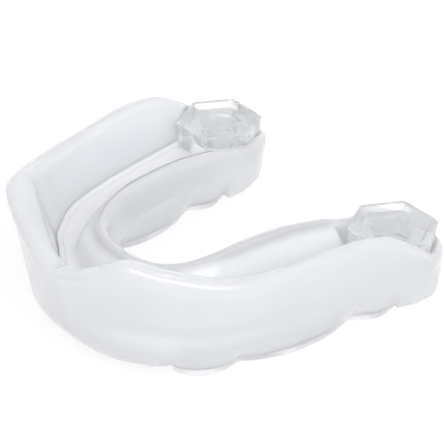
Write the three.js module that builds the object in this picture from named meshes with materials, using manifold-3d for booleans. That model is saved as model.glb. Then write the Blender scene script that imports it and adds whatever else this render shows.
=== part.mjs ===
// Clear boil-and-bite mouthguard for the upper teeth, in millimetres.
// +Z is up (the teeth enter the trough from above), the lips are towards -Y
// and the arms open towards +Y. The origin is under the middle of its box.
import * as THREE from 'three'
import { mergeVertices } from 'three/addons/utils/BufferGeometryUtils.js'
import Module from 'manifold-3d'

const wasm = await Module()
wasm.setup()

// Driving dimensions
const GAP = 0.3 // clearance between pieces that touch
const HEEL = { x: 21.7, y: 20.4, radius: 8.3 } // round rear end of each arm
const HEEL_END = { chords: 3, turn: 1.25, crest: 9.2, drop: 1.0, flare: 0.4, lip: 0.3 }
const FLOOR = 6.2 // height of the shell's trough floor
const SHELL_BASE = 0.8 // underside of the shell at the front and at the heels
const PAD_CEILING = 2.8 // underside of the shell over the bite pads
const CUP = { radius: 7.7, foot: 7.1, top: 12.0, seat: 5.9, rim: 1.2, recess: 0.9 }
const CUP_EDGE = { bevel: 0.4, slope: 0.5, over: 30 } // 'over' is above the whole guard
const DIMPLE = { radius: 3.3, depth: 3.2, draft: 0.15, facets: 32 } // in the cup's face
const PAD = { bevel: 0.6, swell: 2.2, outside: 0.5, inside: 1.9, squareness: 12 }
const LINER = { floor: 1.4, lip: 1.1, lipRise: 2.2, step: 0.5, corner: 1.5, fillet: 0.6, slope: 0.3 }
const EDGE = 1.1 // radius of the underside's tongue-side edge
const CORNER = { out: 1.6, in: 1.2, share: 0.35 } // trough floor corners, limited by the wall's height
const RAKE = { out: 0.2, in: 0.6 } // how far the trough's walls lean in at the floor
const TOP_SHARE = 0.6 // most of a wall's height that its rounded top takes
const LOWEST_WALL = 0.6
const FULL_WIDTH = 12 // a narrower section has its edges scaled down
const WAIST = { height: 0.45, lean: 0.6 } // where the outer face bends outwards
const TILT = { from: 3.4, slope: 0.9 } // the thick part of the rim tilts inwards

// The right half of the arch, from the front midline to the heel. Each station
// has its lip or cheek side face above the underside and its tongue side face
// in plan; how far the flange leans outwards; the heights of its rim and of the
// palatal wall's crest; the thickness of both and of the liner's inner slope;
// how far the underside is tucked in, and its corner on the lip side.
const STATIONS = [
  station([0, -30.0], [0, -17.4], 1.4, 16.2, 13.2, 3.8, 2.3, 1.6, 1.2, 3.4),
  station([3.6, -29.9], [2.6, -17.2], 1.6, 16.6, 13.2, 3.9, 2.3, 1.6, 1.2, 3.4),
  station([9.0, -28.8], [5.4, -16.2], 2.0, 19.9, 13.1, 4.6, 2.4, 1.8, 1.4, 3.4),
  station([13.7, -26.5], [7.8, -14.4], 2.7, 22.8, 13.1, 5.0, 2.5, 2.3, 1.6, 3.4),
  station([18.2, -22.8], [9.7, -11.4], 2.2, 21.1, 13.4, 4.4, 2.6, 2.0, 1.8, 3.2),
  station([23.2, -15.4], [10.7, -7.6], 1.8, 18.5, 13.9, 3.7, 2.7, 1.8, 2.0, 3.0),
  station([25.6, -6.4], [11.1, -2.6], 1.8, 17.7, 14.2, 3.3, 2.7, 1.6, 2.0, 3.0),
  station([27.1, 4.2], [11.7, 4.6], 2.0, 18.0, 13.8, 3.1, 2.7, 1.5, 2.0, 3.0),
  station([28.0, 12.2], [12.4, 12.2], 1.8, 16.4, 12.2, 3.0, 2.6, 1.5, 1.6, 2.4),
  station([28.9, 18.2], [13.1, 18.2], 1.3, 12.7, 10.4, 2.8, 2.4, 1.5, 0.9, 1.4),
]
const LOBES = [3.85, 5.25, 7.5, 8.75] // ends of the pads' lobes, counted in stations
const LOBE_STEPS = 12
const PAD_LEAD = 0.35 // the underside rises this far in front of the pads
const LINER_END = 7.9 // where the liner ends, in front of the cup
const STEPS = 4 // sections between two stations

function station(outer, inner, lean, rim, palate, flange, wall, liner, tuck, bulge) {
  return { outer, inner, lean, rim, palate, flange, wall, liner, tuck, bulge }
}

const mix = (a, b, t) => a + (b - a) * t
const smooth = (t) => t * t * (3 - 2 * t)
const clamp = (v, low, high) => Math.min(Math.max(v, low), high)

// The heel is a disc seen in plan, cut into chords that shrink towards its rear.
function heelStation(k) {
  const part = k / HEEL_END.chords
  const turn = part * HEEL_END.turn
  const half = HEEL.radius * Math.cos(turn)
  const y = HEEL.y + HEEL.radius * Math.sin(turn)
  const crest = mix(HEEL_END.crest, FLOOR + HEEL_END.drop, part)
  const lip = HEEL_END.lip * half
  const outer = [HEEL.x + half - HEEL_END.flare, y]
  return station(outer, [HEEL.x - half, y], HEEL_END.flare, crest, crest, lip, lip, 1.5, 1.3, 1.4)
}

for (let k = 1; k <= HEEL_END.chords; k++) STATIONS.push(heelStation(k))
const LAST = STATIONS.length - 1

// A value of the stations at any place along the arch, as a Catmull-Rom spline
// that is mirrored at the midline. Plan x is odd across it, the rest is even.
function along(place, pick, odd = false) {
  const at = (k) => (k < 0 ? (odd ? -1 : 1) * pick(STATIONS[-k]) : pick(STATIONS[Math.min(k, LAST)]))
  const k = Math.min(Math.floor(place), LAST - 1)
  const t = place - k
  const [a, b, c, d] = [at(k - 1), at(k), at(k + 1), at(k + 2)]
  const cubic = (3 * (b - c) + d - a) * t ** 3 + (2 * a - 5 * b + 4 * c - d) * t ** 2
  return b + 0.5 * ((c - a) * t + cubic)
}

function stationAt(place) {
  const ramp = (from) => smooth(clamp((place - from) * STEPS, 0, 1))
  const overPads = ramp(LOBES[0] - PAD_LEAD) - ramp(LOBES.at(-1))
  const inner = [along(place, (s) => s.inner[0], true), along(place, (s) => s.inner[1])]
  const outer = [along(place, (s) => s.outer[0], true), along(place, (s) => s.outer[1])]
  const [dx, dy] = [outer[0] - inner[0], outer[1] - inner[1]]
  const width = Math.hypot(dx, dy)
  return {
    inner,
    width,
    across: [dx / width, dy / width],
    lean: along(place, (s) => s.lean),
    rim: along(place, (s) => s.rim),
    palate: along(place, (s) => s.palate),
    flange: along(place, (s) => s.flange),
    wall: along(place, (s) => s.wall),
    liner: along(place, (s) => s.liner),
    tuck: along(place, (s) => s.tuck),
    bulge: along(place, (s) => s.bulge),
    underside: mix(SHELL_BASE, PAD_CEILING, overPads),
  }
}

// Points of an elliptic arc about a centre, angles in quarter turns.
function arc([cx, cz], rx, rz, from, to, count) {
  const points = []
  for (let i = 0; i <= count; i++) {
    const angle = (mix(from, to, i / count) * Math.PI) / 2
    points.push([cx + rx * Math.cos(angle), cz + rz * Math.sin(angle)])
  }
  return points
}

// Cross-section of the shell: u runs from the tongue side (0) to the lip side
// (width), z is up. Counter-clockwise from the underside's tongue-side corner.
function shellSection(s) {
  const scale = Math.min(1, s.width / FULL_WIDTH)
  const tuck = s.tuck * scale
  const edge = EDGE * scale
  const bulge = Math.min(s.bulge, FLOOR - s.underside) * scale
  const rimRise = Math.max(s.rim - FLOOR, LOWEST_WALL)
  const palateRise = Math.max(s.palate - FLOOR, LOWEST_WALL)
  const rimTop = Math.min(s.flange / 2, rimRise * TOP_SHARE)
  const wallTop = Math.min(s.wall / 2, palateRise * TOP_SHARE)
  const cornerOut = Math.min(CORNER.out, rimRise * CORNER.share)
  const cornerIn = Math.min(CORNER.in, palateRise * CORNER.share)
  const floorOut = s.width - s.flange - RAKE.out * scale
  const floorIn = s.wall + RAKE.in * scale
  const rimFace = s.width + s.lean
  const tilt = Math.max(0, s.flange - TILT.from) * TILT.slope
  const tilted = ([u, z]) => [u, z - (tilt * (rimFace - u)) / s.flange]
  return [
    ...arc([tuck + edge, s.underside + edge], edge, edge, 2, 3, 2),
    ...arc([s.width - bulge, s.underside + bulge], bulge, bulge, 3, 4, 4),
    [s.width + WAIST.lean * s.lean, mix(s.underside + bulge, s.rim, WAIST.height)],
    ...arc([rimFace - s.flange / 2, FLOOR + rimRise - rimTop], s.flange / 2, rimTop, 0, 2, 6).map(tilted),
    ...arc([floorOut - cornerOut, FLOOR + cornerOut], cornerOut, cornerOut, 0, -1, 2),
    ...arc([floorIn + cornerIn, FLOOR + cornerIn], cornerIn, cornerIn, -1, -2, 2),
    ...arc([s.wall / 2, FLOOR + palateRise - wallTop], s.wall / 2, wallTop, 0, 2, 5),
  ]
}

// Cross-section of the fit liner: a floor layer with a low lip on the lip side
// and a thick slope against the palatal wall.
function linerSection(s) {
  const out = s.width - s.flange - RAKE.out - GAP
  const inn = s.wall + RAKE.in + GAP
  const low = FLOOR + GAP
  const top = low + LINER.floor
  const crest = s.palate - LINER.step
  const { corner, fillet } = LINER
  const lip = LINER.lip / 2
  const tip = s.liner / 3
  return [
    ...arc([inn + corner, low + corner], corner, corner, 2, 3, 3),
    ...arc([out - corner, low + corner], corner, corner, 3, 4, 3),
    ...arc([out - lip, low + LINER.lipRise], lip, lip, 0, 2, 3),
    ...arc([out - LINER.lip - fillet, top + fillet], fillet, fillet, 4, 3, 2),
    ...arc([inn + s.liner + fillet, top + fillet], fillet, fillet, 3, 2, 2),
    ...arc([inn - LINER.slope + tip, crest - tip], tip, tip, 0, 2, 3),
  ]
}

// Sweep a cross-section along the arch, from the end of one arm to the other.
function sweptGeometry(section, end) {
  const half = Math.round(end * STEPS)
  const positions = []
  const rings = []
  for (let i = -half; i <= half; i++) {
    const s = stationAt((Math.abs(i) / half) * end)
    const side = i < 0 ? -1 : 1
    const ring = section(s)
    for (const [u, z] of ring) {
      positions.push(side * (s.inner[0] + s.across[0] * u), s.inner[1] + s.across[1] * u, z)
    }
    rings.push(ring)
  }
  const count = rings[0].length
  const index = []
  for (let r = 0; r < rings.length - 1; r++) {
    for (let j = 0; j < count; j++) {
      const [a, b] = [r * count + j, r * count + ((j + 1) % count)]
      index.push(a, a + count, b + count, a, b + count, b)
    }
  }
  const cap = (ring) => {
    const contour = ring.map(([u, z]) => new THREE.Vector2(u, z))
    return THREE.ShapeUtils.triangulateShape(contour, [])
  }
  for (const [a, b, c] of cap(rings[0])) index.push(a, b, c)
  const last = (rings.length - 1) * count
  for (const [a, b, c] of cap(rings.at(-1))) index.push(last + a, last + c, last + b)
  const geometry = new THREE.BufferGeometry()
  geometry.setAttribute('position', new THREE.Float32BufferAttribute(positions, 3))
  geometry.setIndex(index)
  return geometry
}

// A hexagonal prism or cup wall turned about +Z, with a flat edge to the rear.
function hexagon(profile) {
  const points = profile.map(([radius, z]) => new THREE.Vector2(radius, z))
  const geometry = new THREE.LatheGeometry(points, 6, Math.PI / 2)
  return geometry.rotateX(Math.PI / 2)
}

function toManifold(geometry) {
  const bare = geometry.clone()
  bare.deleteAttribute('normal')
  bare.deleteAttribute('uv')
  const merged = mergeVertices(bare.index ? bare.toNonIndexed() : bare, 1e-4)
  return new wasm.Manifold(
    new wasm.Mesh({
      numProp: 3,
      vertProperties: new Float32Array(merged.attributes.position.array),
      triVerts: new Uint32Array(merged.index.array),
    }),
  )
}

function toGeometry(solid) {
  const mesh = solid.getMesh()
  const geometry = new THREE.BufferGeometry()
  geometry.setAttribute('position', new THREE.BufferAttribute(mesh.vertProperties, 3))
  geometry.setIndex(new THREE.BufferAttribute(mesh.triVerts, 1))
  return geometry
}

// The shell: lip and cheek flange, floor and palatal wall, with a hexagonal
// seat cut into each heel for a cup.
function shellGeometry() {
  let shell = toManifold(sweptGeometry(shellSection, LAST))
  for (const side of [-1, 1]) {
    const seat = hexagon([
      [0, CUP.seat],
      [CUP.foot + GAP, CUP.seat],
      [CUP.radius + GAP, CUP.top + GAP],
      [CUP.radius + GAP, CUP_EDGE.over],
      [0, CUP_EDGE.over],
    ])
    seat.translate(side * HEEL.x, HEEL.y, 0)
    shell = shell.subtract(toManifold(seat))
  }
  return toGeometry(shell)
}

// A molar cup: an open hexagonal cup with a round dimple in its floor.
function cupGeometry() {
  const face = CUP.top - CUP.recess
  const inside = CUP.radius - CUP.rim
  const cup = hexagon([
    [0, CUP.seat + GAP],
    [CUP.foot, CUP.seat + GAP],
    [CUP.radius, CUP.top - CUP_EDGE.bevel],
    [CUP.radius - CUP_EDGE.bevel, CUP.top],
    [inside, CUP.top],
    [inside - CUP_EDGE.slope, face],
    [0, face],
  ])
  const bottom = face - DIMPLE.depth
  const foot = DIMPLE.radius - DIMPLE.draft
  const dimple = new THREE.CylinderGeometry(DIMPLE.radius, foot, CUP.top - bottom, DIMPLE.facets)
  dimple.rotateX(Math.PI / 2).translate(0, 0, (CUP.top + bottom) / 2)
  return toGeometry(toManifold(cup).subtract(toManifold(dimple)))
}

// A bite pad: a flat-bottomed lobed pad under one arm, from canine to last molar.
// Its edges stand back from the arm's sides, least at the middle of a lobe.
function padGeometry(side) {
  const start = LOBES[0]
  const span = LOBES.at(-1) - start
  const outside = []
  const inside = []
  for (let lobe = 0; lobe < LOBES.length - 1; lobe++) {
    for (let i = 0; i < LOBE_STEPS; i++) {
      const place = mix(LOBES[lobe], LOBES[lobe + 1], i / LOBE_STEPS)
      const s = stationAt(place)
      const end = Math.sqrt(1 - Math.abs((2 * (place - start)) / span - 1) ** PAD.squareness)
      const margin = PAD.swell * (1 - Math.sin((Math.PI * i) / LOBE_STEPS))
      const high = s.width - PAD.outside - margin
      const low = PAD.inside + margin
      const middle = (high + low) / 2
      const reach = ((high - low) / 2) * end
      for (const [edge, u] of [[outside, middle + reach], [inside, middle - reach]]) {
        edge.push(new THREE.Vector2(side * (s.inner[0] + s.across[0] * u), s.inner[1] + s.across[1] * u))
      }
    }
  }
  const outline = [...outside, ...inside.slice(1).reverse()]
  const geometry = new THREE.ExtrudeGeometry(new THREE.Shape(outline), {
    depth: PAD_CEILING - GAP - 2 * PAD.bevel,
    bevelThickness: PAD.bevel,
    bevelSize: PAD.bevel,
    bevelOffset: -PAD.bevel,
    bevelSegments: 2,
  })
  return geometry.translate(0, 0, PAD.bevel)
}

const clearResin = (color, roughness) =>
  new THREE.MeshStandardMaterial({ color, roughness, metalness: 0, transparent: true, opacity: 0.6 })

function named(name, geometry, material) {
  const mesh = new THREE.Mesh(geometry, material)
  mesh.name = name
  return mesh
}

const group = new THREE.Group()
group.add(named('outer_shell', shellGeometry(), clearResin('#e3e6ea', 0.3)))
group.add(named('fit_liner', sweptGeometry(linerSection, LINER_END), clearResin('#e9ecef', 0.45)))

const cup = cupGeometry()
for (const [name, side] of [['right', 1], ['left', -1]]) {
  const hexCup = named(`${name}_molar_cup`, cup.clone(), clearResin('#eef1f4', 0.12))
  hexCup.position.set(side * HEEL.x, HEEL.y, 0)
  group.add(hexCup)
  group.add(named(`${name}_bite_pad`, padGeometry(side), clearResin('#e6e9ed', 0.3)))
}

// The stations are counted from the arch's own centre: bring the box's middle to Y = 0.
const box = new THREE.Box3().setFromObject(group)
group.position.y = -(box.min.y + box.max.y) / 2

export default group
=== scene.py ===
"""Looks of a clear boil-and-bite mouthguard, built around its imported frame.

Shapes are drawn in millimetres in the frame's own axes (+X right arm, -Y lips,
+Z up) and turned into metres when a mesh is made. Light, floor and camera are
in metres.
"""

import math

import bmesh
import bpy
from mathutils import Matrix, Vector, noise


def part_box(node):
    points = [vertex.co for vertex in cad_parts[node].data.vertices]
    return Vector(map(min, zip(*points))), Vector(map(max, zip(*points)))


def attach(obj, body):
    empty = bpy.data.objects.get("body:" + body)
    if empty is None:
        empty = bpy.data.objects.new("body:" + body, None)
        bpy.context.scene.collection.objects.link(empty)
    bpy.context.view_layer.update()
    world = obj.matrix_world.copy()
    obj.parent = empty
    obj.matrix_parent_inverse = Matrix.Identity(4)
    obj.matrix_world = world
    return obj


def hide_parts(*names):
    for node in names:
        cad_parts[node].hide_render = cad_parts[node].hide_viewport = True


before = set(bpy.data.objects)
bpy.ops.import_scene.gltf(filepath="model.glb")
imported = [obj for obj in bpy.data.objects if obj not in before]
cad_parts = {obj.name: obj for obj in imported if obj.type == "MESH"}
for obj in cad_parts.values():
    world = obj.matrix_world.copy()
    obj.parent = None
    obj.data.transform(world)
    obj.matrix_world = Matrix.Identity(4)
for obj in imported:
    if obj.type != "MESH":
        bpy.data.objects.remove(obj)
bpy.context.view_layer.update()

MM = 0.001
WELD = 0.0005  # points closer than this, in millimetres, are one

# ---------------------------------------------------------------- dimensions
HEEL = {"x": 21.7, "y": 20.4, "radius": 8.3}  # round rear end of each arm
HEEL_END = {  # the heel is closed by chords that turn towards the rear
    "chords": 5, "turn": 1.53, "crest": 9.2, "tongue_crest": 10.8, "drop": 1.0,
    "flare": 0.4, "lip": 0.3, "liner": 1.5, "tuck": 1.3, "bulge": 1.4,
}
FLOOR = 6.2  # height of the trough's floor
SHELL_BASE = 0.8  # underside at the front
HEEL_BASE = 0.2  # underside behind the bite pads
PAD_CEILING = 1.7  # underside over the bite pads
WALL_FOOT = 6.0  # height where a lobe's side has joined the shell's wall
EDGE = 1.1  # radius of the underside's tongue-side edge
CORNER = {"out": 1.6, "in": 1.2, "share": 0.35}  # fillets beside the trough's floor
RAKE = {"out": 0.2, "in": 0.6}  # how far the trough's walls lean at the floor
TOP_SHARE = 0.6  # the most of a wall's height that its round top may take
LOWEST_WALL = 0.6
FULL_WIDTH = 12.0  # a narrower section has smaller fillets
TILT = {"from": 3.4, "slope": 0.9}  # a rim wider than this slopes down inwards
NOTCH = {"depth": 1.4, "reach": 0.45, "thin": 0.9}  # sharp notch at the front midline

LINER = {"floor": 1.4, "lip": 0.7, "rise": 2.4, "corner": 1.5, "fillet": 1.0, "slope": 0.6}
LINER_GAP = 0.06  # between the liner and the shell
LINER_EDGE = {"out": 0.15, "in": 0.02, "up": 0.15}  # thin upper edge on the lip side
LINER_CREST = {  # its wrap over the palatal wall, from and to in quarter turns
    "start": 0.75, "end": 0.05, "cover_end": 0.45, "thick": 0.12, "thick_top": 0.1,
}

PAD = {"edge": 1.0, "swell": 2.2, "outside": 0.5, "inside": 1.9, "gap": 0.02}
PAD_END = {"squareness": 40, "thinnest": 0.003, "flow": 0.75}  # how a pad's ends close

CUP = {"radius": 7.7, "foot": 7.1, "top": 12.0, "seat": 6.2, "rim": 1.2, "recess": 0.9}
CUP_CORNER = 0.12
CUP_BEVEL = 0.5
CUP_TOP_EDGE = [(0, 0.45), (0.08, 0.18), (0.32, 0)]  # insets, and drops from the top
CUP_INNER_EDGE = [(-0.2, 0), (0, 0.12)]
CUP_FACE_EDGE = [(0.4, 0.12), (0.6, 0)]  # insets, and rises from the sunken face
DIMPLE = {"radius": 3.3, "depth": 3.2}
DIMPLE_RIM = {"spread": 0.9, "roundness": 0.6}  # where the face starts to turn round
DIMPLE_EDGE = [(0.35, 0), (0.1, 0.1), (0, 0.35)]  # spreads, and drops from the face
DIMPLE_FLOOR = [(0.15, 0.6), (0.4, 0.15), (1.0, 0)]  # insets, and rises from the bottom
SEAT = {"gap": 0.08, "corner": 0.15, "clearance": 20}  # the cutter reaches far above the cup
HEXAGON = {"turn": 60, "points_per_side": 9}  # degrees from corner to corner

SOFT_ANGLE = 40  # edges sharper than this, in degrees, are shaded as edges
CUP_ANGLE = 28  # the same for the cups
RIPPLE = {"pitch": 0.22, "height": 0.09, "seed": 7}  # soft unevenness of the moulded skin

# Places along the arch are counted in stations from the midline.
LOBES = [3.85, 5.25, 7.5, 8.75]  # ends of the pads' lobes
LINER_END = 8.2
RINGS = 16  # sections between two stations
PAD_STEP = 16  # how steeply the underside steps up in front of a pad
PAD_BLEND = {"before": 0.4, "rise": 1.6, "behind": 0.2}  # how the walls turn into lobed sides
HEEL_DROP = {"before": 0.3, "rise": 3}  # how the underside comes down behind the pads
LAST_LOBE = {"before": 0.5, "rise": 2}  # how the last lobe's scallop fades out


def station(outer, inner, lean, rim, palate, flange, wall, liner, tuck, bulge):
    """One place along the arch: its faces in plan, then its section's sizes."""
    return {
        "outer": outer, "inner": inner, "lean": lean, "rim": rim, "palate": palate,
        "flange": flange, "wall": wall, "liner": liner, "tuck": tuck, "bulge": bulge,
    }


STATIONS = [
    station((0, -30.0), (0, -17.4), 1.4, 16.2, 13.2, 3.8, 2.3, 1.6, 1.2, 3.4),
    station((3.6, -29.9), (2.6, -17.2), 1.6, 16.6, 13.2, 3.9, 2.3, 1.6, 1.2, 3.4),
    station((9.0, -28.8), (5.4, -16.2), 2.0, 19.9, 13.1, 4.6, 2.4, 1.8, 1.4, 3.4),
    station((13.7, -26.5), (7.8, -14.4), 2.7, 22.8, 13.1, 5.0, 2.5, 2.3, 1.6, 3.4),
    station((18.2, -22.8), (9.7, -11.4), 2.2, 21.1, 13.4, 4.4, 2.6, 2.0, 1.8, 3.2),
    station((23.2, -15.4), (10.7, -7.6), 1.8, 18.5, 13.9, 3.7, 2.7, 1.8, 2.0, 3.0),
    station((25.6, -6.4), (11.1, -2.6), 1.8, 17.7, 14.2, 3.3, 2.7, 1.6, 2.0, 3.0),
    station((27.1, 4.2), (11.7, 4.6), 2.0, 18.0, 13.8, 3.1, 2.7, 1.5, 2.0, 3.0),
    station((28.0, 12.2), (12.4, 12.2), 1.8, 16.4, 12.2, 3.0, 2.6, 1.5, 1.6, 2.4),
    station((28.9, 18.2), (13.1, 18.2), 1.3, 12.7, 10.4, 2.8, 2.4, 1.5, 0.9, 1.4),
]


def mix(a, b, t):
    return a + (b - a) * t


def clamp(value, low, high):
    return max(low, min(high, value))


def smooth(t):
    return t * t * (3 - 2 * t)


def heel_station(k):
    """A chord of the round heel, shorter towards the rear."""
    part = k / HEEL_END["chords"]
    turn = part * HEEL_END["turn"]
    half = HEEL["radius"] * math.cos(turn)
    y = HEEL["y"] + HEEL["radius"] * math.sin(turn)
    crest = mix(HEEL_END["crest"], FLOOR + HEEL_END["drop"], part)
    palate = mix(HEEL_END["tongue_crest"], FLOOR + HEEL_END["drop"], part)
    lip = HEEL_END["lip"] * half
    flare = HEEL_END["flare"]
    outer = (HEEL["x"] + half - flare * math.cos(turn), y)
    inner = (HEEL["x"] - half, y)
    liner, tuck, bulge = HEEL_END["liner"], HEEL_END["tuck"], HEEL_END["bulge"]
    return station(outer, inner, flare, crest, palate, lip, lip, liner, tuck, bulge)


for k in range(1, HEEL_END["chords"] + 1):
    STATIONS.append(heel_station(k))
LAST = len(STATIONS) - 1
SECTION_SIZES = [key for key in STATIONS[0] if key not in ("outer", "inner")]


# ---------------------------------------------------------------- the arch
def along(place, key, axis=None):
    """A station value at any place: a Catmull-Rom spline mirrored at the midline."""

    def at(k):
        value = STATIONS[min(abs(k), LAST)][key]
        if axis is None:
            return value
        return -value[0] if k < 0 and axis == 0 else value[axis]

    k = min(int(place), LAST - 1)
    t = place - k
    a, b, c, d = at(k - 1), at(k), at(k + 1), at(k + 2)
    cubic = (3 * (b - c) + d - a) * t**3 + (2 * a - 5 * b + 4 * c - d) * t**2
    return b + 0.5 * ((c - a) * t + cubic)


def station_at(place):
    """Every size of the section at a place."""

    def ramp(start, steepness):
        return smooth(clamp((place - start) * steepness, 0, 1))

    pad_start, pad_end = LOBES[0], LOBES[-1]
    inner = Vector((along(place, "inner", 0), along(place, "inner", 1)))
    outer = Vector((along(place, "outer", 0), along(place, "outer", 1)))
    s = {key: along(place, key) for key in SECTION_SIZES}
    s["place"] = place
    s["inner"] = inner
    s["width"] = (outer - inner).length
    s["across"] = (outer - inner).normalized()
    s["over_pad"] = ramp(pad_start, PAD_STEP) - ramp(pad_end - 1 / PAD_STEP, PAD_STEP)
    s["base"] = mix(SHELL_BASE, HEEL_BASE, ramp(pad_end - HEEL_DROP["before"], HEEL_DROP["rise"]))
    blend_in = ramp(pad_start - PAD_BLEND["before"], PAD_BLEND["rise"])
    s["near_pad"] = blend_in - ramp(pad_end - PAD_BLEND["behind"], PAD_BLEND["rise"])
    notch = math.exp(-place / NOTCH["reach"])
    s["rim"] -= NOTCH["depth"] * notch
    s["flange"] -= NOTCH["thin"] * notch
    lobe = clamp(sum(1 for end in LOBES if place >= end) - 1, 0, len(LOBES) - 2)
    phase = clamp((place - LOBES[lobe]) / (LOBES[lobe + 1] - LOBES[lobe]), 0, 1)
    flow = PAD_END["flow"] * ramp(pad_end - LAST_LOBE["before"], LAST_LOBE["rise"])
    s["margin"] = PAD["swell"] * (1 - math.sin(math.pi * phase)) * (1 - flow)
    return s


def arc(centre, rx, rz, start, end, count):
    """Points of an elliptic arc, its angles in quarter turns."""
    points = []
    for i in range(count + 1):
        angle = mix(start, end, i / count) * math.pi / 2
        points.append((centre[0] + rx * math.cos(angle), centre[1] + rz * math.sin(angle)))
    return points


def rounded(points, rounds=2):
    """Cut the corners of a closed outline. A point given twice keeps its corner sharp."""
    for _ in range(rounds):
        cut = []
        for i, (u, z) in enumerate(points):
            nu, nz = points[(i + 1) % len(points)]
            cut.append((mix(u, nu, 0.25), mix(z, nz, 0.25)))
            cut.append((mix(u, nu, 0.75), mix(z, nz, 0.75)))
        points = cut
    return points


def lobe_sides(s, z):
    """Where the lobed side faces are at a height, on the tongue side and the lip side."""
    rise = clamp((z - PAD["edge"]) / (WALL_FOOT - PAD["edge"]), 0, 1)
    joined = math.sin(rise * math.pi / 2)
    palate_rise = s["palate"] - SHELL_BASE - EDGE
    face = s["tuck"] * (1 - (z - SHELL_BASE - EDGE) / palate_rise)
    low = mix(PAD["inside"] + s["margin"], face, joined)
    high = mix(s["width"] - PAD["outside"] - s["margin"], outer_face(s, z), joined)
    return low, high


def outer_face(s, z):
    """Where the leaning wall on the lip side is at a height."""
    foot = SHELL_BASE + min(s["bulge"], FLOOR - SHELL_BASE)
    return s["width"] + s["lean"] * (z - foot) / max(s["rim"] - foot, 1)


def underside_points(s, tuck, edge, bulge):
    """The shell's underside: round edges, or square ones where a pad continues it."""
    bare = arc((tuck + edge, s["base"] + edge), edge, edge, 2, 3, 4)
    bare += arc((s["width"] - bulge, s["base"] + bulge), bulge, bulge, 3, 4, 6)
    heights_in = [mix(WALL_FOOT, PAD_CEILING, k / 3) for k in range(4)]
    heights_out = [mix(PAD_CEILING, WALL_FOOT, k / 5) for k in range(6)]
    low, high = lobe_sides(s, PAD_CEILING)
    padded = [(lobe_sides(s, z)[0], z) for z in heights_in] + [(low, PAD_CEILING)]
    padded += [(high, PAD_CEILING)] + [(lobe_sides(s, z)[1], z) for z in heights_out]
    parts = [s["near_pad"]] * 3 + [s["over_pad"]] * 4 + [s["near_pad"]] * 5
    return [(mix(a[0], b[0], w), mix(a[1], b[1], w)) for a, b, w in zip(bare, padded, parts)]


def shell_section(s):
    """Shell profile: u from the tongue side (0) to the lip side, z up."""
    scale = min(1, s["width"] / FULL_WIDTH)
    tuck = s["tuck"] * scale
    edge = EDGE * scale
    bulge = min(s["bulge"], FLOOR - SHELL_BASE) * scale
    flange = s["flange"]
    wall = s["wall"]
    width = s["width"]
    rim_rise = max(s["rim"] - FLOOR, LOWEST_WALL)
    palate_rise = max(s["palate"] - FLOOR, LOWEST_WALL)
    rim_top = min(flange / 2, rim_rise * TOP_SHARE)
    wall_top = min(wall / 2, palate_rise * TOP_SHARE)
    corner_out = min(CORNER["out"], rim_rise * CORNER["share"])
    corner_in = min(CORNER["in"], palate_rise * CORNER["share"])
    floor_out = width - flange - RAKE["out"] * scale
    floor_in = wall + RAKE["in"] * scale
    rim_face = width + s["lean"]
    tilt = max(0, flange - TILT["from"]) * TILT["slope"]
    rim_centre = (rim_face - flange / 2, FLOOR + rim_rise - rim_top)
    level_rim = arc(rim_centre, flange / 2, rim_top, 0, 2, 8)
    rim = [(u, z - tilt * (rim_face - u) / flange) for u, z in level_rim]
    side_heights = [mix(FLOOR, s["rim"] - rim_top, k / 3) for k in (1, 2)]
    side = [(outer_face(s, z), z) for z in side_heights]
    return rounded(
        underside_points(s, tuck, edge, bulge)
        + side
        + rim
        + arc((floor_out - corner_out, FLOOR + corner_out), corner_out, corner_out, 0, -1, 3)
        + arc((floor_in + corner_in, FLOOR + corner_in), corner_in, corner_in, -1, -2, 3)
        + arc((wall / 2, FLOOR + palate_rise - wall_top), wall / 2, wall_top, 0, 2, 6)
    )


def liner_section(s):
    """Liner profile: a floor layer whose edges taper out on both walls."""
    wall, gap = s["wall"], LINER_GAP
    out = s["width"] - s["flange"] - RAKE["out"] - gap
    inn = wall + RAKE["in"] + gap
    low = FLOOR + gap
    top = low + LINER["floor"]
    corner, fillet = LINER["corner"], LINER["fillet"]
    lip_top = low + LINER["rise"]
    lip_edge = [
        (out + LINER_EDGE["out"], lip_top),
        (out + LINER_EDGE["in"], lip_top + LINER_EDGE["up"]),
    ]
    slope = (inn + LINER["slope"] * s["liner"], mix(top, s["palate"], LINER["slope"]))
    shoulder = min(wall / 2, (s["palate"] - FLOOR) * TOP_SHARE)
    centre = (wall / 2, s["palate"] - shoulder)
    start = LINER_CREST["start"]
    across = wall / 2 + gap
    up = shoulder + gap
    hug = arc(centre, across, up, start, LINER_CREST["end"], 4)
    across += LINER_CREST["thick"]
    up += LINER_CREST["thick_top"]
    cover = arc(centre, across, up, start, LINER_CREST["cover_end"], 2)
    return rounded(
        arc((inn + corner, low + corner), corner, corner, 2, 3, 4)
        + arc((out - corner, low + corner), corner, corner, 3, 4, 4)
        + lip_edge
        + arc((out - LINER["lip"] - fillet, top + fillet), fillet, fillet, 4, 3, 3)
        + arc((inn + s["liner"] + fillet, top + fillet), fillet, fillet, 3, 2, 3)
        + [slope]
        + list(reversed(cover))
        + hug
    )


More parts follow.
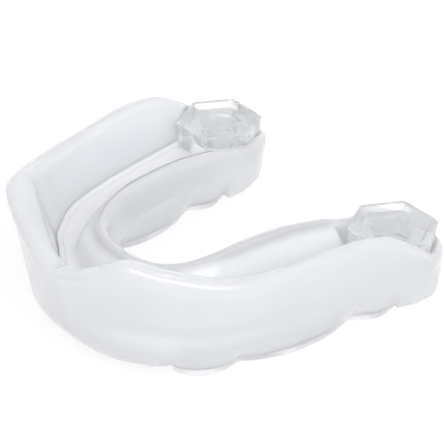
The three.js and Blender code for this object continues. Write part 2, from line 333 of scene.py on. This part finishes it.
def pad_section(s):
    """Pad profile: a flat foot and lobed sides that run on into the shell's."""
    off_middle = abs(2 * (s["place"] - LOBES[0]) / (LOBES[-1] - LOBES[0]) - 1)
    end = math.sqrt(max(1 - off_middle ** PAD_END["squareness"], PAD_END["thinnest"]))
    top = PAD_CEILING - PAD["gap"]
    low, high = lobe_sides(s, 0)
    middle = (high + low) / 2
    edge = PAD["edge"] * end
    heights = [mix(PAD["edge"], top, k / 3) for k in (1, 2, 3)]
    sides_out = [(mix(middle, lobe_sides(s, z)[1], end), z) for z in heights]
    sides_in = [(mix(middle, lobe_sides(s, z)[0], end), z) for z in reversed(heights)]
    high = mix(middle, high, end)
    low = mix(middle, low, end)
    return rounded(
        arc((low + edge, edge), edge, edge, 2, 3, 4)
        + arc((high - edge, edge), edge, edge, 3, 4, 4)
        + sides_out
        + [sides_out[-1], sides_in[0]]
        + sides_in
    )


# ---------------------------------------------------------------- meshes
CUP_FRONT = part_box("right_molar_cup")[0][1]
CUP_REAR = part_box("right_molar_cup")[1][1]
ARCH_Y = (CUP_FRONT + CUP_REAR) / 2 / MM - HEEL["y"]  # from the stations' own Y to the frame's
noise.seed_set(RIPPLE["seed"])


def rippled(point):
    """Move a point a little, as a moulding's skin does."""
    return Vector(point) + noise.noise_vector(Vector(point) * RIPPLE["pitch"]) * RIPPLE["height"]


def make_object(name, vertices, faces, ripples=True):
    """An object with a mesh that is still in millimetres."""
    mesh = bpy.data.meshes.new(name)
    mesh.from_pydata([rippled(v) if ripples else v for v in vertices], [], faces)
    obj = bpy.data.objects.new(name, mesh)
    bpy.context.scene.collection.objects.link(obj)
    bm = bmesh.new()
    bm.from_mesh(mesh)
    bmesh.ops.remove_doubles(bm, verts=bm.verts, dist=WELD)
    bmesh.ops.dissolve_degenerate(bm, edges=bm.edges, dist=WELD)
    bmesh.ops.recalc_face_normals(bm, faces=bm.faces)
    bm.to_mesh(mesh)
    bm.free()
    return obj


def finish_mesh(obj, sharp):
    """Shade smooth but for edges over an angle, and turn millimetres into metres."""
    bm = bmesh.new()
    bm.from_mesh(obj.data)
    for face in bm.faces:
        face.smooth = True
    for edge in bm.edges:
        edge.smooth = edge.calc_face_angle(0) < math.radians(sharp)
    bmesh.ops.scale(bm, vec=Vector((MM, MM, MM)), verts=bm.verts)
    bm.to_mesh(obj.data)
    bm.free()


def loft_faces(rings, count):
    """Faces of a tube through rings of count points, closed at both ends."""
    faces = [tuple(reversed(range(count)))]
    for r in range(rings - 1):
        for j in range(count):
            a = r * count + j
            b = r * count + (j + 1) % count
            faces.append((a, b, b + count, a + count))
    last = (rings - 1) * count
    faces.append(tuple(last + j for j in range(count)))
    return faces


def sweep(name, section, places):
    """Loft a section along the arch. Negative places are on the left arm."""
    vertices = []
    for place in places:
        s = station_at(abs(place))
        side = -1 if place < 0 else 1
        for u, z in section(s):
            x, y = s["inner"] + s["across"] * u
            vertices.append((side * x, y + ARCH_Y, z))
    count = len(vertices) // len(places)
    return make_object(name, vertices, loft_faces(len(places), count))


def places_between(start, end):
    """Evenly spaced places along one arm."""
    steps = max(2, round((end - start) * RINGS))
    return [mix(start, end, i / steps) for i in range(steps + 1)]


def subtract(obj, cutter):
    """Cut one mesh out of another and drop the cutter."""
    modifier = obj.modifiers.new("cut", "BOOLEAN")
    modifier.object = cutter
    modifier.operation = "DIFFERENCE"
    modifier.solver = "MANIFOLD"
    bpy.context.view_layer.update()
    graph = bpy.context.evaluated_depsgraph_get()
    cut = bpy.data.meshes.new_from_object(obj.evaluated_get(graph))
    obj.modifiers.clear()
    obj.data = cut
    bpy.data.objects.remove(cutter)


def hexagon_ring(radius, corner, z, centre, roundness=0.0):
    """A hexagon with blunted corners, blended towards its circle by roundness."""
    points = []
    turn, per_side = HEXAGON["turn"], HEXAGON["points_per_side"]
    half_turn = math.radians(turn / 2)
    for side in range(6):
        for i in range(per_side):
            angle = math.radians(turn * side + turn * i / per_side)
            off_flat = abs(angle % math.radians(turn) - half_turn)
            flat = radius * math.cos(half_turn) / math.cos(off_flat)
            hexagonal = min(flat, radius - corner)
            r = mix(hexagonal, radius, roundness)
            points.append((centre[0] + r * math.cos(angle), centre[1] + r * math.sin(angle), z))
    return points


def loft_rings(name, rings):
    """Join rings of equal length, closing the first and the last."""
    vertices = [p for ring in rings for p in ring]
    faces = loft_faces(len(rings), len(rings[0]))
    return make_object(name, vertices, faces, ripples=False)


# ---------------------------------------------------------------- materials
COAT = {"roughness": 0.1, "ior": 1.5}
HAZE_NOISE = {"Scale": 95.0, "Detail": 4.0, "Roughness": 0.55}
GLOSS_NOISE = {"Scale": 420.0, "Detail": 3.0, "Roughness": 0.6}
GLOSS_RANGE = (0.3, 0.7)  # the part of the gloss noise that the roughness is spread over


def node(tree, kind, **inputs):
    """A node with its named inputs set or linked."""
    made = tree.nodes.new(kind)
    for key, value in inputs.items():
        socket = made.inputs[key.replace("_", " ")]
        if isinstance(value, bpy.types.NodeSocket):
            tree.links.new(value, socket)
        else:
            socket.default_value = value
    return made


def colour_between(tree, factor, low, high):
    """A colour that goes from low to high as a factor goes from 0 to 1."""
    made = tree.nodes.new("ShaderNodeMix")
    made.data_type = "RGBA"
    colour_inputs = [socket for socket in made.inputs if socket.type == "RGBA"]
    tree.links.new(factor, made.inputs[0])
    colour_inputs[0].default_value = low
    colour_inputs[1].default_value = high
    return next(socket for socket in made.outputs if socket.type == "RGBA")


def spread(tree, value, source, target=(0.0, 1.0)):
    """Map one range of a value onto another."""
    made = node(tree, "ShaderNodeMapRange", Value=value)
    made.inputs["From Min"].default_value = source[0]
    made.inputs["From Max"].default_value = source[1]
    made.inputs["To Min"].default_value = target[0]
    made.inputs["To Max"].default_value = target[1]
    return made.outputs[0]


def resin(name, milk, haze, rough, transmission, subsurface, coat, depth=3.0, ior=1.47):
    """Clear or milky moulded resin with drifting haze and uneven gloss. Depth is in mm."""
    material = bpy.data.materials.new(name)
    material.use_nodes = True
    tree = material.node_tree
    tree.nodes.clear()
    place = node(tree, "ShaderNodeTexCoord").outputs["Object"]
    clouds = node(tree, "ShaderNodeTexNoise", Vector=place, **HAZE_NOISE)
    flow = node(tree, "ShaderNodeTexNoise", Vector=place, **GLOSS_NOISE)
    colour = colour_between(tree, clouds.outputs[0], haze, milk)
    shader = node(tree, "ShaderNodeBsdfPrincipled", Base_Color=colour)
    tree.links.new(spread(tree, flow.outputs[0], GLOSS_RANGE, rough), shader.inputs["Roughness"])
    shader.inputs["IOR"].default_value = ior
    shader.inputs["Transmission Weight"].default_value = transmission
    shader.inputs["Subsurface Weight"].default_value = subsurface
    shader.inputs["Subsurface Radius"].default_value = (1.0, 1.0, 1.0)
    shader.inputs["Subsurface Scale"].default_value = depth * MM
    shader.inputs["Coat Weight"].default_value = coat
    shader.inputs["Coat Roughness"].default_value = COAT["roughness"]
    shader.inputs["Coat IOR"].default_value = COAT["ior"]
    node(tree, "ShaderNodeOutputMaterial", Surface=shader.outputs[0])
    return material


def eva(name):
    """Milky EVA, as the shell and the bite pads are moulded from."""
    return resin(
        name,
        milk=(0.878, 0.886, 0.909, 1),
        haze=(0.808, 0.82, 0.848, 1),
        rough=(0.29, 0.38),
        transmission=0.42,
        subsurface=0.8,
        coat=0.8,
    )


SHELL_EVA = eva("shell_eva")
PAD_EVA = eva("pad_eva")
LINER_GEL = resin(
    "liner_gel",
    milk=(0.952, 0.96, 0.98, 1),
    haze=(0.922, 0.932, 0.955, 1),
    rough=(0.30, 0.42),
    transmission=0.22,
    subsurface=0.7,
    coat=0.4,
    depth=1.6,
)
CUP_CLEAR = resin(
    "cup_clear",
    milk=(0.99, 0.995, 1.0, 1),
    haze=(0.98, 0.986, 0.995, 1),
    rough=(0.05, 0.12),
    transmission=0.77,
    subsurface=0.0,
    coat=0.0,
    ior=1.28,
)


def declare(piece, replaced, material, sharp=SOFT_ANGLE):
    """Finish a piece, give it its material, hang it under the root body and hide the node it stands for.
    """
    finish_mesh(piece, sharp)
    piece.data.materials.clear()
    piece.data.materials.append(material)
    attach(piece, "root")
    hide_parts(replaced)


# ---------------------------------------------------------------- camera
LENS = 145.95
SENSOR = 36
CAMERA = {"azimuth": 49.92, "elevation": 34.0, "distance": 0.29819}
AIM_RIGHT = 0.00338  # how far the view's middle lies beside the object's origin
AIM_UP = 0.00896  # the same, above it in the view
CLIP = {"start": 0.01, "end": 20}


def towards(azimuth, elevation):
    """The direction of a place seen from the guard. Azimuth 0 is in front of the lips."""
    a, e = math.radians(azimuth), math.radians(elevation)
    return Vector((math.sin(a) * math.cos(e), -math.cos(a) * math.cos(e), math.sin(e)))


def add_camera():
    """A long lens on the right arm's side, looking down on the guard."""
    azimuth = math.radians(CAMERA["azimuth"])
    right = Vector((math.cos(azimuth), math.sin(azimuth), 0))
    back = towards(CAMERA["azimuth"], CAMERA["elevation"])
    up = back.cross(right)
    data = bpy.data.cameras.new("camera")
    data.lens = LENS
    data.sensor_width = SENSOR
    data.clip_start = CLIP["start"]
    data.clip_end = CLIP["end"]
    camera = bpy.data.objects.new("camera", data)
    camera.location = back * CAMERA["distance"] + right * AIM_RIGHT + up * AIM_UP
    camera.rotation_euler = back.to_track_quat("Z", "Y").to_euler()
    bpy.context.scene.collection.objects.link(camera)
    bpy.context.scene.camera = camera


add_camera()


# ---------------------------------------------------------------- floor and light
LIGHT_TABLE = 0.8  # the share of the floor's light that comes from under it
FLOOR_HALF = 3.0
FLOOR_CELLS = 12
FLOOR_NOISE = {"Scale": 2.0, "Detail": 2.0}
FLOOR_LOW = (0.93, 0.93, 0.93, 1)
FLOOR_HIGH = (0.95, 0.95, 0.95, 1)
SKY_LOW = (1.1, 1.11, 1.13, 1)  # the dome's colour at floor level
SKY_HIGH = (0.9, 0.9, 0.9, 1)  # its colour from SKY_TURN up
SKY_TURN = 0.8  # a height on a dome whose radius is 1
SKY_STRENGTH = 1.02


def add_floor():
    """A wide pale floor under the guard, very slightly uneven in tone."""
    bm = bmesh.new()
    bmesh.ops.create_grid(bm, x_segments=FLOOR_CELLS, y_segments=FLOOR_CELLS, size=FLOOR_HALF)
    mesh = bpy.data.meshes.new("floor")
    bm.to_mesh(mesh)
    bm.free()
    floor = bpy.data.objects.new("floor", mesh)
    bpy.context.scene.collection.objects.link(floor)
    material = bpy.data.materials.new("pale_floor")
    material.use_nodes = True
    tree = material.node_tree
    tree.nodes.clear()
    place = node(tree, "ShaderNodeTexCoord").outputs["Object"]
    clouds = node(tree, "ShaderNodeTexNoise", Vector=place, **FLOOR_NOISE)
    colour = colour_between(tree, clouds.outputs[0], FLOOR_LOW, FLOOR_HIGH)
    diffuse = node(tree, "ShaderNodeBsdfDiffuse", Color=colour)
    glow = node(tree, "ShaderNodeEmission", Strength=1.0)
    shader = node(tree, "ShaderNodeMixShader", Fac=LIGHT_TABLE)
    tree.links.new(diffuse.outputs[0], shader.inputs[1])
    tree.links.new(glow.outputs[0], shader.inputs[2])
    node(tree, "ShaderNodeOutputMaterial", Surface=shader.outputs[0])
    mesh.materials.append(material)


def add_sky():
    """White studio air: an even dome, a little brighter low down."""
    world = bpy.data.worlds.new("studio")
    world.use_nodes = True
    tree = world.node_tree
    tree.nodes.clear()
    direction = node(tree, "ShaderNodeTexCoord").outputs["Generated"]
    parts = node(tree, "ShaderNodeSeparateXYZ", Vector=direction)
    height = spread(tree, parts.outputs["Z"], (0.0, SKY_TURN))
    colour = colour_between(tree, height, SKY_LOW, SKY_HIGH)
    shader = node(tree, "ShaderNodeBackground", Color=colour, Strength=SKY_STRENGTH)
    node(tree, "ShaderNodeOutputWorld", Surface=shader.outputs[0])
    bpy.context.scene.world = world


def add_softbox(name, azimuth, elevation, distance, width, height, power):
    """An area light aimed at the guard."""
    back = towards(azimuth, elevation)
    data = bpy.data.lights.new(name, "AREA")
    data.shape = "RECTANGLE"
    data.size = width
    data.size_y = height
    data.energy = power
    light = bpy.data.objects.new(name, data)
    light.location = back * distance
    light.rotation_euler = back.to_track_quat("Z", "Y").to_euler()
    bpy.context.scene.collection.objects.link(light)


add_floor()
add_sky()
add_softbox("softbox_key", azimuth=65, elevation=47, distance=0.8, width=0.8, height=0.24, power=2.8)
add_softbox("softbox_back", azimuth=170, elevation=68, distance=0.9, width=0.1, height=0.05, power=0.3)
bpy.context.scene.view_settings.view_transform = "Standard"
cycles = bpy.context.scene.cycles
cycles.max_bounces = 32  # clear plastic needs many
cycles.transmission_bounces = 24
cycles.diffuse_bounces = 8
cycles.glossy_bounces = 8


# ---------------------------------------------------------------- the pieces
def heel_centre(side):
    """Where an arm's cup stands in plan."""
    return (side * HEEL["x"], HEEL["y"] + ARCH_Y)


def both_arms(end):
    """Places from the end of the left arm, past the midline, to the end of the right."""
    places = places_between(0, end)
    return [-p for p in reversed(places[1:])] + places


def seat_cutter(side):
    """The cup's outside, a little larger and open to the top."""
    centre = heel_centre(side)
    gap, corner, top = SEAT["gap"], SEAT["corner"], CUP["top"]
    return loft_rings("seat_cutter", [
        hexagon_ring(CUP["foot"] + gap, corner, CUP["seat"] - gap, centre),
        hexagon_ring(CUP["radius"] + gap, corner, top, centre),
        hexagon_ring(CUP["radius"] + gap, corner, top + SEAT["clearance"], centre),
    ])


def make_shell():
    shell = sweep("shell_visual", shell_section, both_arms(LAST))
    for side in (-1, 1):
        subtract(shell, seat_cutter(side))
    declare(shell, "outer_shell", SHELL_EVA)


def make_liner():
    liner = sweep("liner_visual", liner_section, both_arms(LINER_END))
    declare(liner, "fit_liner", LINER_GEL)


def make_pad(side, name, replaced):
    places = [side * p for p in places_between(LOBES[0], LOBES[-1])]
    pad = sweep(name, pad_section, places)
    declare(pad, replaced, PAD_EVA)


def make_cup(side, name, replaced):
    """A hexagonal cup: its outside from the seat up, its sunken face, then its dimple."""
    centre = heel_centre(side)
    corner = CUP_CORNER
    radius, foot, seat, top = CUP["radius"], CUP["foot"], CUP["seat"], CUP["top"]
    face = top - CUP["recess"]
    inside = radius - CUP["rim"]
    dimple = DIMPLE["radius"]
    deep = face - DIMPLE["depth"]

    def hexagon_at(size, z):
        return hexagon_ring(size, corner, z, centre)

    def circle_at(size, z):
        return hexagon_ring(size, 0, z, centre, 1.0)

    outside = [hexagon_at(foot - CUP_BEVEL, seat), hexagon_at(foot, seat + CUP_BEVEL)]
    outside += [hexagon_at(radius - inset, top - drop) for inset, drop in CUP_TOP_EDGE]
    sunk = [hexagon_at(inside - inset, top - drop) for inset, drop in CUP_INNER_EDGE]
    sunk += [hexagon_at(inside - inset, face + rise) for inset, rise in CUP_FACE_EDGE]
    hollow = [hexagon_ring(dimple + DIMPLE_RIM["spread"], corner, face, centre, DIMPLE_RIM["roundness"])]
    hollow += [circle_at(dimple + spread_out, face - drop) for spread_out, drop in DIMPLE_EDGE]
    hollow += [circle_at(dimple - inset, deep + rise) for inset, rise in DIMPLE_FLOOR]
    cup = loft_rings(name, outside + sunk + hollow)
    declare(cup, replaced, CUP_CLEAR, CUP_ANGLE)


make_shell()
make_liner()
make_pad(1, "right_pad_visual", "right_bite_pad")
make_pad(-1, "left_pad_visual", "left_bite_pad")
make_cup(1, "right_cup_visual", "right_molar_cup")
make_cup(-1, "left_cup_visual", "left_molar_cup")
